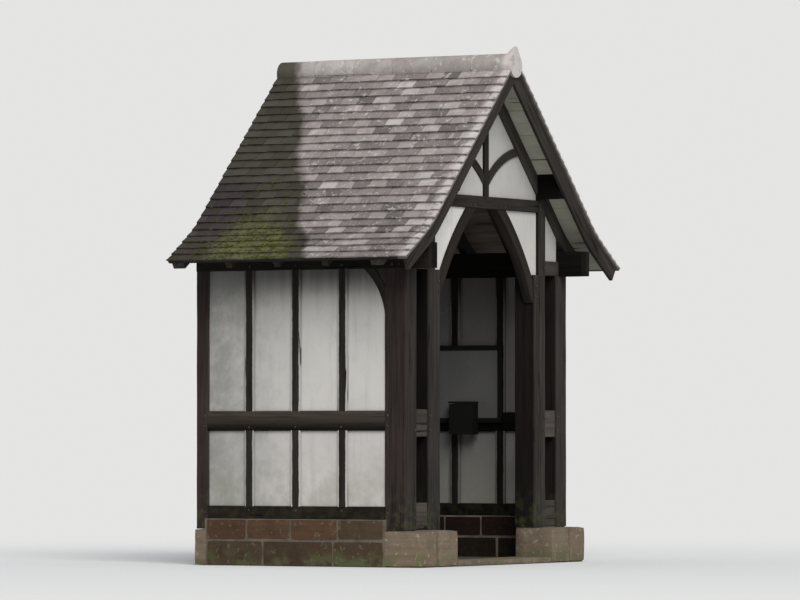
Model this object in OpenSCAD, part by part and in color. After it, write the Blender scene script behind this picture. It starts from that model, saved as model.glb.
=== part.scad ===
// Timber framed church porch: an open arched front, plaster panels and a tiled roof with flared eaves.
// Millimetres. The front gable faces -Y, the back stands against a wall at +Y, and the ground is Z = 0.
// The right half is drawn, and the left half is its mirror image. Depths are counted from the front posts.

/* [Overall] */
// Width over the corner posts
frame_w = 2900; // [2800:20:3000]
// Depth from the front of the front posts to the back of the rear posts
frame_d = 2100; // [2000:20:2400]
// How far the tiles run out past the front posts
verge_out = 285; // [260:5:340]

/* [Plinth and floor] */
// Height of the stone plinth under a side wall
plinth_h = 405; // [360:5:450]
// Height of the base stones under the end frames
pad_h = 315; // [270:5:350]
// How far the front base stones reach out past the posts
pad_out = 180; // [120:10:220]
// Thickness of the stone plinth
plinth_t = 250; // [230:10:300]
// How far the plinth stands proud of the timber
plinth_proud = 30; // [10:5:50]
// Thickness of the stone floor
floor_t = 40; // [30:5:50]
// Height of the threshold stone
threshold_h = 55; // [50:5:90]

/* [Posts] */
// Side of a square front post
post_w = 205; // [190:5:220]
// Depth of the rear posts, which stand against a wall
rear_post_d = 120; // [110:5:150]
// Width of a post beside the doorway
door_post_w = 215; // [200:5:225]
// Width of that post above its shoulder
door_post_top_w = 130; // [115:5:150]
// Open gap between a corner post and a door post
light_w = 190; // [170:5:210]

/* [Side walls] */
// Thickness of sills, rails and studs
timber_t = 110; // [100:5:130]
// Height of a side sill
sill_h = 110; // [100:5:140]
// Underside of the side rail
rail_z = 1165; // [1100:5:1230]
// Height of the side rail
rail_h = 170; // [150:5:190]
// Width of a stud
stud_w = 95; // [80:5:110]
// Number of studs in a side wall
stud_n = 3; // [2:1:4]
// How far the plaster lies behind the timber face
panel_in = 22; // [15:1:30]
// Thickness of a plaster panel
panel_t = 60; // [45:5:70]
// Height of the knee brace down the corner post
knee_h = 430; // [380:10:480]
// Reach of the knee brace along the wall plate
knee_l = 215; // [180:5:230]
// Width of the curved knee brace
knee_w = 70; // [60:5:80]

/* [Wall plates and ties] */
// Underside of the wall plate
plate_z = 2550; // [2500:10:2620]
// Width of the wall plate
plate_w = 150; // [140:5:170]
// Height of the wall plate
plate_h = 220; // [200:5:240]
// Height of the short tie between corner post and door post
tie_h = 130; // [110:5:140]
// Height of the sill under a side light
end_sill_h = 235; // [200:5:250]
// Underside of the rail across a side light
end_rail_z = 1110; // [1060:5:1150]
// Height of the rail across a side light
end_rail_h = 240; // [210:5:260]

/* [Arch and gable] */
// Foot of the arch braces below the underside of the wall plate
spring_drop = 250; // [230:5:280]
// Underside of the collar above the underside of the wall plate
collar_up = 555; // [540:5:570]
// Distance from the middle to the head of an arch brace
arch_flat = 180; // [150:5:200]
// Radius of an arch brace against half the doorway
arch_round = 2.85; // [2.4:0.05:3.2]
// Width of an arch brace
arch_w = 110; // [100:5:120]
// Blunt foot of an arch brace
arch_nose = 15; // [10:1:25]
// Height of the collar
collar_h = 110; // [95:5:115]
// Thickness of collars and principal rafters
frame_t = 120; // [110:5:120]
// Width of the king post
king_w = 90; // [80:5:100]
// Width of a curved gable strut
strut_w = 75; // [65:5:85]
// Foot of a gable strut above the collar
strut_foot = 100; // [85:5:120]
// Reach of a gable strut from the middle
strut_reach = 590; // [540:10:630]
// Radius of a gable strut
strut_r = 900; // [800:20:1200]

/* [Joints] */
// Thickness of a tenon
tenon_t = 32; // [28:1:36]
// Length of a tenon
tenon_l = 45; // [35:5:50]
// Spare depth at the end of a mortise
mortise_slack = 4; // [2:1:6]

/* [Roof] */
// Pitch of the roof in degrees
pitch = 45; // [44:0.5:46]
// Pitch of the flared foot in degrees
flare_pitch = 33; // [31:1:36]
// Radius of the bend at the flare
flare_r = 1200; // [900:50:1400]
// How far the flare starts outside the wall
flare_x = 50; // [30:5:70]
// Eaves overhang past the wall
eave_out = 505; // [450:5:540]
// Thickness of the tile coat
tile_t = 45; // [40:1:50]
// Thickness of the roof boards
board_t = 20; // [18:1:25]
// Depth of a common rafter
rafter_d = 110; // [100:5:120]
// Thickness of a common rafter
rafter_t = 60; // [50:5:70]
// Number of common rafters between the end frames
rafter_n = 3; // [2:1:4]
// Depth of a principal rafter
principal_d = 115; // [110:5:125]
// Depth of the tapered rafter foot under the flare
foot_d = 75; // [60:5:80]
// Depth of a notch over the wall plate
seat = 30; // [20:5:40]
// Distance from the middle to the purlin ends under the overhang
purlin_x = 900; // [800:10:950]
// Width of a purlin end
purlin_w = 100; // [90:5:110]
// Depth of a purlin end on its lower side
purlin_d = 120; // [110:5:140]
// Depth of a barge board
barge_d = 125; // [110:5:140]
// Thickness of a barge board
barge_t = 32; // [28:1:38]
// Tile edge in front of the barge board
barge_in = 25; // [15:5:35]
// Width of the ridge beam
ridge_w = 50; // [44:2:60]
// Depth of the ridge beam
ridge_d = 170; // [150:5:180]
// Radius of a ridge tile
ridge_r = 110; // [100:5:120]
// Height of the raised stop over the front end of the ridge
stop_up = 68; // [50:2:80]
// Number of ridge tiles
ridge_n = 6; // [4:1:8]

/* [Wall fittings] */
// Gap between the corner post and the notice board
notice_from_post = 385; // [300:5:600]
// Foot of the notice board above the underside of the rail
notice_up = 75; // [40:5:100]
// Width of the notice board along the wall
notice_w = 695; // [500:5:720]
// Height of the notice board
notice_h = 700; // [600:10:720]
// Width of the wall box
box_w = 260; // [180:10:280]
// Height of the wall box
box_h = 300; // [240:10:320]
// Foot of the wall box below the underside of the rail
box_drop = 30; // [10:5:60]
// Wall box behind the near edge of the notice board
box_along = 232; // [180:4:280]

/* [Hidden] */
$fn = 96;

half_w = frame_w / 2;
overall_d = frame_d + verge_out;
verge_y = -overall_d / 2;
front_y = verge_y + verge_out;
rear_y = overall_d / 2;
rear_in_y = rear_y - rear_post_d;
wall_y = front_y + post_w;
wall_l = rear_in_y - wall_y;
bay = (wall_l - stud_n * stud_w) / (stud_n + 1);

plinth_x = half_w + plinth_proud - plinth_t;
pad_y = front_y - pad_out;
corner_x = half_w - post_w;
arch_half = corner_x - light_w - door_post_w;
door_x = arch_half + door_post_w;
head_x = door_x - door_post_top_w;
plate_x = half_w - plate_w;
plate_top = plate_z + plate_h;
tie_top = plate_z + tie_h;
sill_top = plinth_h + sill_h;
rail_top = rail_z + rail_h;

// Setbacks of the thinner members behind the face of the end frames
brace_in = 12;
brace_t = 90;
end_t = 100;
gable_panel_in = 30;
gable_panel_t = 50;

// Roof lines: an offset counts downwards, square to the slope, from the top of the tiles
boards_o = tile_t;
rafters_o = tile_t + board_t;
rafter_low_o = rafters_o + rafter_d;
principal_low_o = rafters_o + principal_d;
apex_z = plate_top - seat + half_w * tan(pitch) + rafter_low_o / cos(pitch);
bend_x = half_w + flare_x;
eave_x = half_w + eave_out;
eave_z = main_z(bend_x, 0) - (eave_x - bend_x) * tan(flare_pitch);
bend_cx = bend_x + flare_r * (1 / cos(pitch) - 1 / cos(flare_pitch)) / (tan(pitch) - tan(flare_pitch));
bend_cz = main_z(bend_cx, -flare_r);
board_back = 30;
rafter_back = 60;
plumb_out = 45;
barge_y = verge_y + barge_in;
carry_y = barge_y + barge_t;
far = 2 * apex_z;

spring_z = plate_z - spring_drop;
collar_z = plate_z + collar_up;
collar_top = collar_z + collar_h;
arch_r = arch_round * arch_half;

// Height of the straight slope at a distance from the middle
function main_z(x, o) = apex_z - x * tan(pitch) - o / cos(pitch);

// Section line of the roof from the middle to the eave, with a round bend, stopping short of the tile edge
function roof_line(o, back) = concat(
    [[0, main_z(0, o)]],
    [for (k = [0:8]) let (a = pitch - k * (pitch - flare_pitch) / 8)
        [bend_cx - (flare_r + o) * sin(a), bend_cz - (flare_r + o) * cos(a)]],
    [[eave_x - back - o * sin(flare_pitch), eave_z + back * tan(flare_pitch) - o * cos(flare_pitch)]]);

function backwards(points) = [for (k = [len(points) - 1:-1:0]) points[k]];

// Centre of the arc of radius r that bulges to the left of the way from p to q
function arc_centre(p, q, r) =
    let (d = q - p, l = norm(d), s = sqrt(r * r - l * l / 4))
    (p + q) / 2 + s * [d.y, -d.x] / l;

// A flat outline in X and Z, given a thickness along Y
module upright(y, t) {
    translate([0, y + t, 0]) rotate([90, 0, 0]) linear_extrude(t) children();
}

// A flat outline in Y and Z, given a thickness along X
module sideways(x, t) {
    translate([x, 0, 0]) rotate([90, 0, 90]) linear_extrude(t) children();
}

module left() {
    mirror([1, 0, 0]) children();
}

module both() {
    children();
    left() children();
}

module block(x, y, z) {
    translate([x[0], y[0], z[0]]) cube([x[1] - x[0], y[1] - y[0], z[1] - z[0]]);
}

module plate2d(x, z) {
    translate([x[0], z[0]]) square([x[1] - x[0], z[1] - z[0]]);
}

module ring2d(c, r, w) {
    translate(c) difference() {
        circle(r + w, $fn = 240);
        circle(r, $fn = 240);
    }
}

// Everything under the straight slope at an offset, on the right half
module under_slope(o) {
    polygon([[0, 0], [main_z(0, o) / tan(pitch), 0], [0, main_z(0, o)]]);
}

module plinth_side() {
    color("#8a5f52") block([plinth_x, half_w + plinth_proud], [wall_y, rear_in_y], [0, plinth_h]);
}

module base_stone(y) {
    color("#a3917c") block([arch_half, half_w + plinth_proud], y, [0, pad_h]);
}

module paving() {
    color("#8d8578") {
        block([-plinth_x, plinth_x], [wall_y, rear_in_y], [0, floor_t]);
        block([-arch_half, arch_half], [rear_in_y, rear_y], [0, floor_t]);
    }
}

module threshold() {
    color("#9c8d79") block([-arch_half, arch_half], [pad_y, wall_y], [0, threshold_h]);
}

// A span with a centred part of a given width
function centred(a, b, w) = [(a + b - w) / 2, (a + b + w) / 2];

side_tenon_x = centred(half_w - timber_t, half_w, tenon_t);
front_frame_y = [front_y, front_y + frame_t];
rear_frame_y = [rear_in_y, rear_y];
front_bar_y = [front_y + brace_in, front_y + brace_in + end_t];
rear_bar_y = [rear_y - brace_in - end_t, rear_y - brace_in];
brace_y = [front_y + brace_in, rear_y - brace_in - brace_t];
side_sill_z = [plinth_h, sill_top];
side_rail_z = [rail_z, rail_top];
end_sill_z = [pad_h, pad_h + end_sill_h];
end_rail_span = [end_rail_z, end_rail_z + end_rail_h];

// Each tenon reaches l past the shoulders of its member: a mortise is the same shape with a longer l
module side_bar_tenons(z, l) {
    block(side_tenon_x, [wall_y - l, wall_y], z);
    block(side_tenon_x, [rear_in_y, rear_in_y + l], z);
}

module end_bar_tenons(z, l) {
    for (y = [front_bar_y, rear_bar_y]) {
        block([door_x - l, door_x], centred(y[0], y[1], tenon_t), z);
        block([corner_x, corner_x + l], centred(y[0], y[1], tenon_t), z);
    }
}

module stud_tenons(l) {
    for (k = [1:stud_n]) {
        y = [wall_y + k * bay + (k - 1) * stud_w, wall_y + k * (bay + stud_w)];
        block(side_tenon_x, y, [sill_top - l, sill_top]);
        block(side_tenon_x, y, [rail_z, rail_z + l]);
        block(side_tenon_x, y, [rail_top - l, rail_top]);
        block(side_tenon_x, y, [plate_z, plate_z + l]);
    }
}

module post_tenons(l) {
    for (y = [[front_y, wall_y], rear_frame_y])
        block(centred(plate_x, half_w, tenon_t), centred(y[0], y[1], y[1] - y[0] - tenon_t),
            [plate_z, plate_z + l]);
}

module collar_tenons(l) {
    for (y = [front_frame_y, rear_frame_y])
        block([head_x, head_x + l], centred(y[0], y[1], tenon_t), [collar_z, collar_low_end]);
}

module king_tenons(l) {
    for (y = [front_bar_y, rear_bar_y])
        block([-king_w / 2, king_w / 2], centred(y[0], y[1], tenon_t), [collar_top - l, collar_top]);
}

module brace_tenons(l) {
    for (y = brace_y)
        upright(y + (brace_t - tenon_t) / 2, tenon_t) intersection() {
            ring2d(arch_c, arch_r, arch_w);
            union() {
                plate2d([arch_half, arch_half + l], [spring_z, collar_z]);
                plate2d([arch_flat, arch_half], [collar_z, collar_z + l]);
            }
        }
}

module purlin_tenons(l) {
    x = centred(purlin_x, purlin_x + purlin_w, tenon_t);
    z = [main_z(x[0], principal_low_o) + tenon_t, main_z(x[1], rafters_o) - tenon_t];
    block(x, [front_y, front_y + l], z);
}

// Every mortise of the right half, cut out of the members that take the tenons
module mortised() {
    l = tenon_l + mortise_slack;
    difference() {
        children();
        side_bar_tenons(side_sill_z, l);
        side_bar_tenons(side_rail_z, l);
        end_bar_tenons(end_sill_z, l);
        end_bar_tenons(end_rail_span, l);
        stud_tenons(l);
        post_tenons(l);
        collar_tenons(l);
        brace_tenons(l);
        purlin_tenons(l);
    }
}

module side_sill() {
    color("#3b342c") {
        mortised() block([half_w - timber_t, half_w], [wall_y, rear_in_y], side_sill_z);
        side_bar_tenons(side_sill_z, tenon_l);
    }
}

module side_rail() {
    color("#3b342c") {
        mortised() block([half_w - timber_t, half_w], [wall_y, rear_in_y], side_rail_z);
        side_bar_tenons(side_rail_z, tenon_l);
    }
}

module end_bars(z) {
    color("#6b6055") both() {
        block([door_x, corner_x], front_bar_y, z);
        block([door_x, corner_x], rear_bar_y, z);
        end_bar_tenons(z, tenon_l);
    }
}

module corner_post(y) {
    color("#5d5348") {
        mortised() block([corner_x, half_w], y, [pad_h, plate_z]);
        intersection() {
            post_tenons(tenon_l);
            block([0, far], y, [0, far]);
        }
    }
}

module door_post(y, t) {
    color("#6b6055") mortised() upright(y, t) intersection() {
        union() {
            plate2d([arch_half, door_x], [pad_h, plate_z]);
            plate2d([head_x, door_x], [pad_h, far]);
        }
        under_slope(principal_low_o);
    }
}

module studs() {
    color("#3b342c") {
        for (k = [1:stud_n]) {
            y = wall_y + k * bay + (k - 1) * stud_w;
            block([half_w - timber_t, half_w], [y, y + stud_w], [sill_top, rail_z]);
            block([half_w - timber_t, half_w], [y, y + stud_w], [rail_top, plate_z]);
        }
        stud_tenons(tenon_l);
    }
}

// Outline of the knee brace in Y and Z
module knee2d() {
    foot = [wall_y, plate_z - knee_h];
    head = [wall_y + knee_l, plate_z];
    r = 1.4 * knee_h;
    intersection() {
        ring2d(arc_centre(foot, head, r), r, knee_w);
        plate2d([wall_y, wall_y + bay], [plate_z - knee_h, plate_z]);
    }
}

module knee_brace() {
    color("#4a4138") sideways(half_w - timber_t + brace_in, timber_t - 2 * brace_in) knee2d();
}

module wall_plate() {
    color("#4a4138") mortised() block([plate_x, half_w], [carry_y, rear_y], [plate_z, plate_top]);
}

module stub_ties() {
    color("#6b6055") both() {
        block([door_x, plate_x], [front_y, front_y + frame_t], [plate_z, tie_top]);
        block([door_x, plate_x], [rear_in_y, rear_y], [plate_z, tie_top]);
    }
}

module side_panels() {
    color("#ddd8cc") sideways(half_w - panel_in - panel_t, panel_t) difference() {
        for (k = [0:stud_n]) {
            y = wall_y + k * (bay + stud_w);
            plate2d([y, y + bay], [sill_top, rail_z]);
            plate2d([y, y + bay], [rail_top, plate_z]);
        }
        knee2d();
    }
}

// Centre of the inner curve of the right arch brace
arch_c = arc_centre([arch_flat, collar_z], [arch_half - arch_nose, spring_z], arch_r);

module arch_braces(y) {
    color("#6b6055") both() {
        upright(y, brace_t) intersection() {
            ring2d(arch_c, arch_r, arch_w);
            plate2d([arch_flat, arch_half], [spring_z, collar_z]);
            under_slope(principal_low_o);
        }
        intersection() {
            brace_tenons(tenon_l);
            block([0, far], [y, y + brace_t], [0, far]);
        }
    }
}

// The collar's ends are cut to the slope of the principal rafters where they reach it
collar_low_end = min(collar_top, main_z(head_x + tenon_l + mortise_slack, principal_low_o));

module collars() {
    color("#6b6055") {
        difference() {
            for (y = [front_frame_y, rear_frame_y]) upright(y[0], y[1] - y[0]) intersection() {
                plate2d([-head_x, head_x], [collar_z, collar_top]);
                both2d() under_slope(principal_low_o);
            }
            both() brace_tenons(tenon_l + mortise_slack);
            king_tenons(tenon_l + mortise_slack);
        }
        both() collar_tenons(tenon_l);
    }
}

ridge_low = main_z(0, rafters_o) - ridge_d;

module king_posts() {
    color("#6b6055") for (y = [front_bar_y[0], rear_bar_y[0]]) upright(y, end_t) difference() {
        both2d() intersection() {
            plate2d([0, king_w / 2], [collar_top, far]);
            union() {
                under_slope(principal_low_o);
                plate2d([0, ridge_w / 2], [collar_top, far]);
            }
        }
        plate2d([-ridge_w, ridge_w], [ridge_low, 2 * far]);
    }
    color("#6b6055") king_tenons(tenon_l);
}

module both2d() {
    children();
    mirror([1, 0]) children();
}

// Centre of the under edge of the right gable strut
strut_c = arc_centre([king_w / 2, collar_top + strut_foot],
    [strut_reach, main_z(strut_reach, principal_low_o)], strut_r);

module strut2d() {
    intersection() {
        ring2d(strut_c, strut_r, strut_w);
        under_slope(principal_low_o);
        plate2d([king_w / 2, strut_reach], [collar_top, far]);
    }
}

module struts() {
    color("#6b6055") both() for (y = brace_y) upright(y, brace_t) strut2d();
}

// Outline of a rafter: a straight blade, a bent foot under the flare and a notch over the wall plate
module rafter2d(low_o) {
    head = ridge_w / 2;
    tail = half_w + plumb_out;
    difference() {
        union() {
            polygon([[head, main_z(head, low_o)], [tail, main_z(tail, low_o)],
                [tail, main_z(tail, rafters_o)], [head, main_z(head, rafters_o)]]);
            intersection() {
                polygon(concat(roof_line(rafters_o, rafter_back),
                    backwards(roof_line(rafters_o + foot_d, rafter_back))));
                plate2d([plate_x, far], [0, far]);
            }
        }
        plate2d([0, half_w], [0, plate_top]);
    }
}

module principals(y, t) {
    color("#5d5348") both() mortised() upright(y, t) rafter2d(principal_low_o);
}

rafter_gap = (rear_in_y - front_y - frame_t - rafter_n * rafter_t) / (rafter_n + 1);

module rafters() {
    color("#5a4e42") for (k = [1:rafter_n])
        upright(front_y + frame_t + k * (rafter_gap + rafter_t) - rafter_t, rafter_t)
            rafter2d(rafter_low_o);
}

// The ends of the purlins, tenoned into the front principals, with the barge boards across them
module purlin_ends() {
    low = main_z(purlin_x + purlin_w, rafters_o) - purlin_d;
    color("#3b342c") both() {
        upright(carry_y, front_y - carry_y) intersection() {
            plate2d([purlin_x, purlin_x + purlin_w], [low, far]);
            under_slope(rafters_o);
        }
        purlin_tenons(tenon_l);
    }
}

module ridge_beam() {
    side = ridge_w / 2;
    color("#5a4e42") upright(carry_y, rear_y - carry_y)
        polygon([[-side, ridge_low], [side, ridge_low], [side, main_z(side, rafters_o)],
            [0, main_z(0, rafters_o)], [-side, main_z(side, rafters_o)]]);
}

module gable_panels(y) {
    color("#ddd8cc") both() upright(y, gable_panel_t) {
        difference() {
            union() {
                plate2d([0, arch_half], [spring_z, plate_z]);
                plate2d([0, head_x], [plate_z, collar_z]);
            }
            translate(arch_c) circle(arch_r + arch_w, $fn = 240);
        }
        difference() {
            intersection() {
                plate2d([king_w / 2, head_x], [collar_top, far]);
                under_slope(principal_low_o);
            }
            strut2d();
        }
        intersection() {
            plate2d([door_x, plate_x], [tie_top, far]);
            under_slope(principal_low_o);
        }
    }
}

module roof_boards() {
    color("#6a5a4a") upright(carry_y, rear_y - carry_y)
        polygon(concat(roof_line(boards_o, board_back), backwards(roof_line(rafters_o, board_back))));
}

module roof_tiles() {
    color("#8b7f7a") upright(verge_y, overall_d)
        polygon(concat(roof_line(0, 0), backwards(roof_line(tile_t, 0))));
}

ridge_over = 25;
ridge_joint = 6;
ridge_l = (overall_d - (ridge_n - 1) * ridge_joint) / ridge_n;
ridge_c = [0, apex_z + ridge_over - ridge_r];
stop_r = 34;
stop_l = 90;
stop_top = ridge_c[1] + ridge_r + stop_up;

// Half round ridge tiles, the front one with a raised stop at its end
module ridge_tiles() {
    color("#a39a92") {
        for (k = [0:ridge_n - 1]) upright(verge_y + k * (ridge_l + ridge_joint), ridge_l) difference() {
            translate(ridge_c) circle(ridge_r);
            both2d() under_slope(0);
        }
        upright(verge_y, stop_l) difference() {
            union() {
                translate(ridge_c) circle(ridge_r);
                translate([0, stop_top - stop_r]) circle(stop_r);
                both2d() polygon([ridge_c, ridge_c + [0.8 * ridge_r, 0], [stop_r, stop_top - stop_r],
                    [0, stop_top - stop_r]]);
            }
            both2d() under_slope(0);
        }
    }
}

module barge_board() {
    color("#6f6152") upright(barge_y, barge_t) intersection() {
        polygon(concat(roof_line(boards_o, board_back),
            backwards(roof_line(boards_o + barge_d, board_back))));
        plate2d([0, far], [eave_z - barge_d, far]);
    }
}

notice_y = wall_y + notice_from_post;
notice_z = rail_z + notice_up;
notice_t = 24;
notice_edge = 45;
notice_lip = 12;
inner_x = half_w - timber_t;

module notice_board() {
    color("#c9c5bb") {
        block([inner_x - notice_t, inner_x], [notice_y, notice_y + notice_w],
            [notice_z, notice_z + notice_h]);
        sideways(inner_x - notice_t - notice_lip, notice_lip + 1) difference() {
            plate2d([notice_y, notice_y + notice_w], [notice_z, notice_z + notice_h]);
            plate2d([notice_y + notice_edge, notice_y + notice_w - notice_edge],
                [notice_z + notice_edge, notice_z + notice_h - notice_edge]);
        }
    }
}

box_y = notice_y + box_along;
box_z = rail_z - box_drop;
box_t = 110;

module wall_box() {
    color("#2f2a26") block([inner_x - notice_t - notice_lip - box_t, inner_x - notice_t - notice_lip],
        [box_y, box_y + box_w], [box_z, box_z + box_h]);
}

left() plinth_side();  // plinth_left
plinth_side();  // plinth_right
both() base_stone([pad_y, wall_y]);  // plinth_front
both() base_stone([rear_in_y, rear_y]);  // plinth_rear
paving();  // floor
threshold();
left() side_sill();  // sill_left
side_sill();  // sill_right
end_bars(end_sill_z);  // end_sills
left() corner_post([front_y, wall_y]);  // post_front_left
corner_post([front_y, wall_y]);  // post_front_right
left() door_post(front_y, post_w);  // door_post_left
door_post(front_y, post_w);  // door_post_right
both() {  // rear_posts
    corner_post([rear_in_y, rear_y]);
    door_post(rear_in_y, rear_post_d);
}
left() side_rail();  // rail_left
side_rail();  // rail_right
end_bars(end_rail_span);  // end_rails
left() studs();  // studs_left
studs();  // studs_right
left() knee_brace();  // knee_brace_left
knee_brace();  // knee_brace_right
left() wall_plate();  // plate_left
wall_plate();  // plate_right
stub_ties();
left() side_panels();  // panels_left
side_panels();  // panels_right
arch_braces(brace_y[0]);  // arch_braces_front
arch_braces(brace_y[1]);  // arch_braces_rear
collars();
king_posts();
struts();
principals(front_y, frame_t);  // principals_front
principals(rear_in_y, rear_post_d);  // principals_rear
gable_panels(front_y + gable_panel_in);  // gable_panels_front
gable_panels(rear_y - gable_panel_in - gable_panel_t);  // gable_panels_rear
ridge_beam();
left() rafters();  // rafters_left
rafters();  // rafters_right
purlin_ends();
left() roof_boards();  // roof_boards_left
roof_boards();  // roof_boards_right
left() roof_tiles();  // roof_tiles_left
roof_tiles();  // roof_tiles_right
ridge_tiles();
left() barge_board();  // barge_board_left
barge_board();  // barge_board_right
notice_board();
wall_box();
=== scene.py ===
"""Looks of a timber-framed church porch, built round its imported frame.

Metres, +Z up, the open gable faces -Y.
"""

import math
import random
from itertools import product

import bmesh
import bpy
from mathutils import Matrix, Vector, noise


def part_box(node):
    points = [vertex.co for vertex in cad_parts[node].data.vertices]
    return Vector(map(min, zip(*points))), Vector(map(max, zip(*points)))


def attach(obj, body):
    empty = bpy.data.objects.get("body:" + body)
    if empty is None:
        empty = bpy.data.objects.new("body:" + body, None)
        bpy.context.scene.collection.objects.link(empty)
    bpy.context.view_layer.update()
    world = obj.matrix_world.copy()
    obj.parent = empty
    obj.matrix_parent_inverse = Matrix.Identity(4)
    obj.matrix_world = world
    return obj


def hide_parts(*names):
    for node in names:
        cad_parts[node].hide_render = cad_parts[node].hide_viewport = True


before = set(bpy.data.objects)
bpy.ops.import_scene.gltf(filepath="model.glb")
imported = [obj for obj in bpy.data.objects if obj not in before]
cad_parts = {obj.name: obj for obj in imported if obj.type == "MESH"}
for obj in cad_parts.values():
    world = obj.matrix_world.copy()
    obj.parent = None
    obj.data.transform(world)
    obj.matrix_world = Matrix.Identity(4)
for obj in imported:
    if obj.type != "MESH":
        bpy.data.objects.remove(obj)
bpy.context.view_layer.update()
rng = random.Random(1067)


def low(node):
    return Vector(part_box(node)[0])


def high(node):
    return Vector(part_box(node)[1])


# Places taken from the frame
HALF_W, WALL_Y = high("post_front_right").xy
FRONT_Y = low("post_front_right").y
REAR_IN_Y = low("rear_posts").y
DOOR_IN_X, DOOR_OUT_X = low("door_post_right").x, high("door_post_right").x
PLINTH_IN_X = low("plinth_right").x
PLINTH_OUT_X = high("plinth_right").x
PLINTH_Z = high("plinth_right").z
PAD_Y, PAD_Z = low("plinth_front").y, high("plinth_front").z
FLOOR_Z = high("floor").z
THRESHOLD_Z = high("threshold").z
SILL_Z = high("sill_right").z
RAIL_Z, RAIL_TOP = low("rail_right").z, high("rail_right").z
PLATE_X, PLATE_Y, PLATE_Z = low("plate_right")
REAR_Y, PLATE_TOP = high("plate_right").yz
TIE_TOP = high("stub_ties").z
COLLAR_Z, COLLAR_TOP = low("collars").z, high("collars").z
VERGE_Y = low("roof_tiles_right").y
EAVE_X, APEX_Z = high("roof_tiles_right").xz
STOP_Z = high("ridge_tiles").z

# Sizes that the frame was drawn from
TENON_L = 0.045
TIMBER_T = 0.11
STUD_W = 0.095
STUDS = 3
FRAME_T = 0.12
BRACE_IN = 0.012
END_T = 0.1
KING_W = 0.09
HEAD_W = 0.13
PITCH = math.radians(45)
FLARE = math.radians(33)
BEND_R = 1.2
BEND_OUT = 0.05
TILE_COAT = 0.045
BOARD_T = 0.02
PRINCIPAL_O = TILE_COAT + BOARD_T + 0.115
ARCH_FLAT = 0.18
ARCH_NOSE = 0.015
ARCH_R = 2.85 * DOOR_IN_X
SPRING_Z = PLATE_Z - 0.25
STRUT_FOOT = 0.1
STRUT_REACH = 0.59
STRUT_R = 0.9
KNEE_L = 0.215
KNEE_H = 0.43
KNEE_R = 1.4 * KNEE_H
RIDGE_TILES = 6
RIDGE_R = 0.11
RIDGE_Z = APEX_Z + 0.025 - RIDGE_R

# Places worked out from those
CORNER_X = -low("end_sills").x - TENON_L
HEAD_X = DOOR_OUT_X - HEAD_W
BAY = (REAR_IN_Y - WALL_Y - STUDS * STUD_W) / (STUDS + 1)
FRONT_BARS = (FRONT_Y + BRACE_IN, FRONT_Y + BRACE_IN + END_T)
REAR_BARS = (REAR_Y - BRACE_IN - END_T, REAR_Y - BRACE_IN)
FRAMES = ((FRONT_Y, FRONT_Y + FRAME_T), (REAR_IN_Y, REAR_Y))
MID_Y = (FRONT_Y + REAR_Y) / 2
GABLE_IN = high("gable_panels_rear").y - 0.045 - MID_Y
INDOOR_X = HALF_W - 0.05
SIDES = (("left", -1), ("right", 1))

# Sizes that only the looks need
SNUG = 0.005
POST_WEAR = {"uneven": 0.005, "chamfer": 0.009}
RING_STEP = 0.14
TILE_GAUGE = 0.1
TILE_L = 0.2
TILE_T = 0.012
TILE_TILT = 0.031 / 0.265
TILES_ACROSS = 14.5
BARE_TOP = 0.06
TOP_GAP = 0.075
SOFFIT_W = 0.15
VERGE_BED = 0.085
RIDGE_T = 0.016
JOINT = 0.01
RAGGED = 0.007
PEG_R = 0.0105
# Edge of the church wall's painted shadow, where the tiles are also damp
SHADOW_DAMP_REACH = 1.28
SHADOW_DAMP_TOP = REAR_Y - 0.15
MOSS_BACK = REAR_Y - 0.38
MOSS_COUNT = 560


def slope_z(x, o):
    """Height of the straight roof slope at a distance from the middle, o below the top of the tiles."""
    return APEX_Z - x * math.tan(PITCH) - o / math.cos(PITCH)


def arc_centre(p, q, r):
    """Centre of the arc of radius r that bulges to the left of the way from p to q."""
    d = (q[0] - p[0], q[1] - p[1])
    length = math.hypot(*d)
    s = math.sqrt(r * r - length * length / 4)
    return ((p[0] + q[0]) / 2 + s * d[1] / length, (p[1] + q[1]) / 2 - s * d[0] / length)


# Centres of the curved members, the first two in X and Z and the last in Y and Z
ARCH_C = arc_centre((ARCH_FLAT, COLLAR_Z), (DOOR_IN_X - ARCH_NOSE, SPRING_Z), ARCH_R)
STRUT_C = arc_centre((KING_W / 2, COLLAR_TOP + STRUT_FOOT),
                     (STRUT_REACH, slope_z(STRUT_REACH, PRINCIPAL_O)), STRUT_R)
KNEE_C = arc_centre((WALL_Y, PLATE_Z - KNEE_H), (WALL_Y + KNEE_L, PLATE_Z), KNEE_R)

# The way down the roof: a straight slope, a bend and a flare
BEND_CX = HALF_W + BEND_OUT + (BEND_R * (1 / math.cos(PITCH) - 1 / math.cos(FLARE))
                               / (math.tan(PITCH) - math.tan(FLARE)))
BEND_CZ = slope_z(BEND_CX, -BEND_R)
RUN_MAIN = (BEND_CX - BEND_R * math.sin(PITCH)) / math.cos(PITCH)
RUN_BEND = BEND_R * (PITCH - FLARE)
RUN_FLARE = (EAVE_X - (BEND_CX - BEND_R * math.sin(FLARE))) / math.cos(FLARE)
RUN = RUN_MAIN + RUN_BEND + RUN_FLARE


def put_in_scene(name, data):
    piece = bpy.data.objects.new(name, data)
    bpy.context.scene.collection.objects.link(piece)
    return piece


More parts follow.
